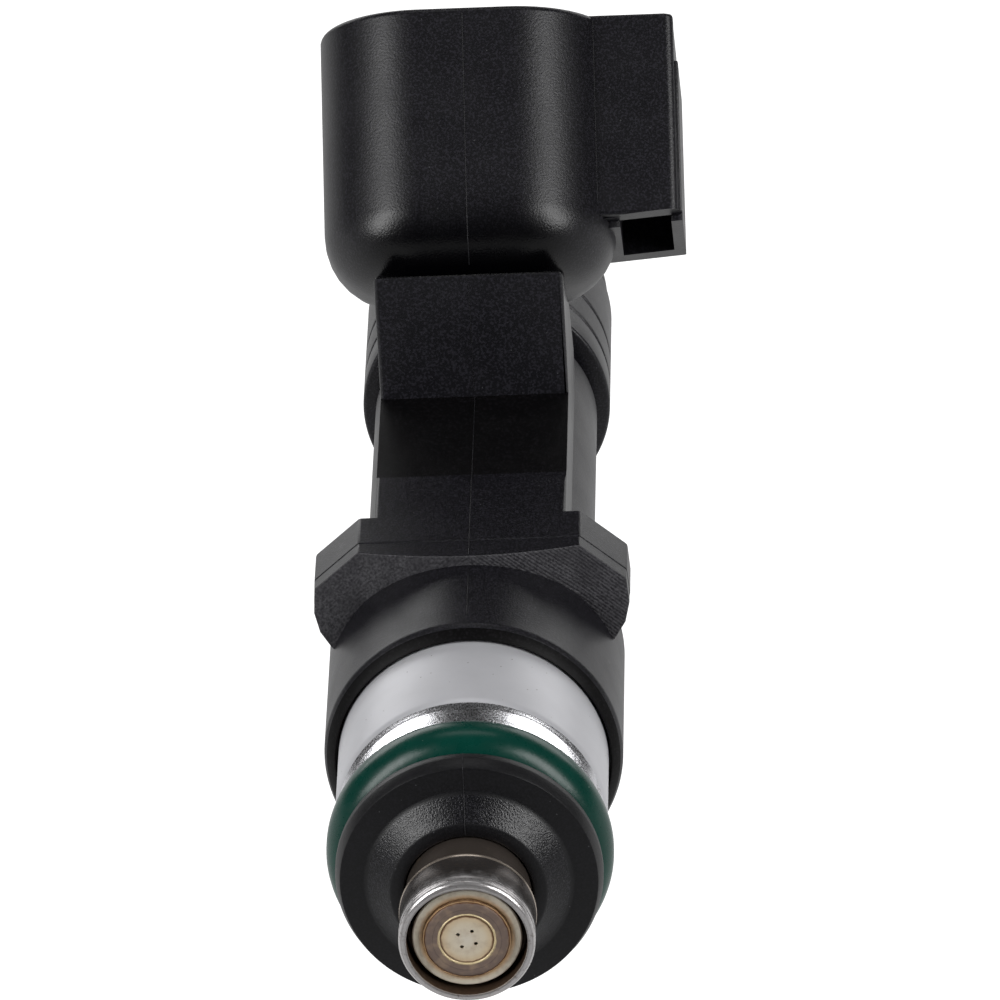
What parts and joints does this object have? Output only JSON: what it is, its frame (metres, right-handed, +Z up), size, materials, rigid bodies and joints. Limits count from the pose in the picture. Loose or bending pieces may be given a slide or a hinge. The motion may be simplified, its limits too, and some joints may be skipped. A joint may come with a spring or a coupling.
{
  "type": "fuel injector",
  "caption": "Port fuel injector: steel valve tip with plate nozzle, seal rings, moulded body, side-tilted blade socket and straight inlet tube.",
  "frame": {"origin": "on the injector's axis at the centre of the lower seal ring, where the manifold bore holds it", "axes": "+Y along the axis from the spray tip to the fuel inlet, +Z up on the side of the electrical socket, +X to the socket's latch guide"},
  "size_m": [0.0195, 0.0729, 0.0338],
  "materials": {
    "moulded_black": "satin moulded glass-filled nylon",
    "polished_steel": "bright turned and rolled",
    "machined_steel": "ground",
    "seat_steel": "warm ground steel",
    "plate_steel": "fine matt sheet with a tinted weld ring",
    "spring_steel": "drawn wire",
    "tinned_terminal": "tinned",
    "copper": "enamelled wire",
    "brass": "turned",
    "green_rubber": "smooth moulded",
    "black_rubber": "smooth moulded",
    "bobbin_plastic": "natural nylon",
    "filter_mesh": "fine woven filter cloth"
  },
  "bodies": {
    "injector": {"overmold_body": "moulded_black", "magnet_housing": "polished_steel", "magnet_end_washer": "polished_steel", "coil_bobbin": "bobbin_plastic", "coil_winding": "copper", "inner_pole": "machined_steel", "valve_sleeve": "polished_steel", "inlet_tube": "polished_steel", "lower_seal_ring": "green_rubber", "upper_seal_ring": "black_rubber", "tip_retainer_cap": "moulded_black", "valve_seat": "seat_steel", "orifice_plate": "plate_steel", "filter_frame": "bobbin_plastic", "filter_screen": "filter_mesh", "filter_collar": "brass", "adjusting_sleeve": "machined_steel", "closing_spring": "spring_steel", "terminal_left": "tinned_terminal", "terminal_right": "tinned_terminal"},
    "needle": {"armature": "machined_steel", "needle_tube": "machined_steel", "valve_ball": "machined_steel"}
  },
  "joints": [
    {"name": "needle_lift", "type": "slide", "parent": "injector", "child": "needle", "axis": [0, 1, 0], "range_m": [0, 0.00008], "stiffness_N_per_m": 300, "springref_m": -0.005, "deforming": ["closing_spring"]}
  ]
}
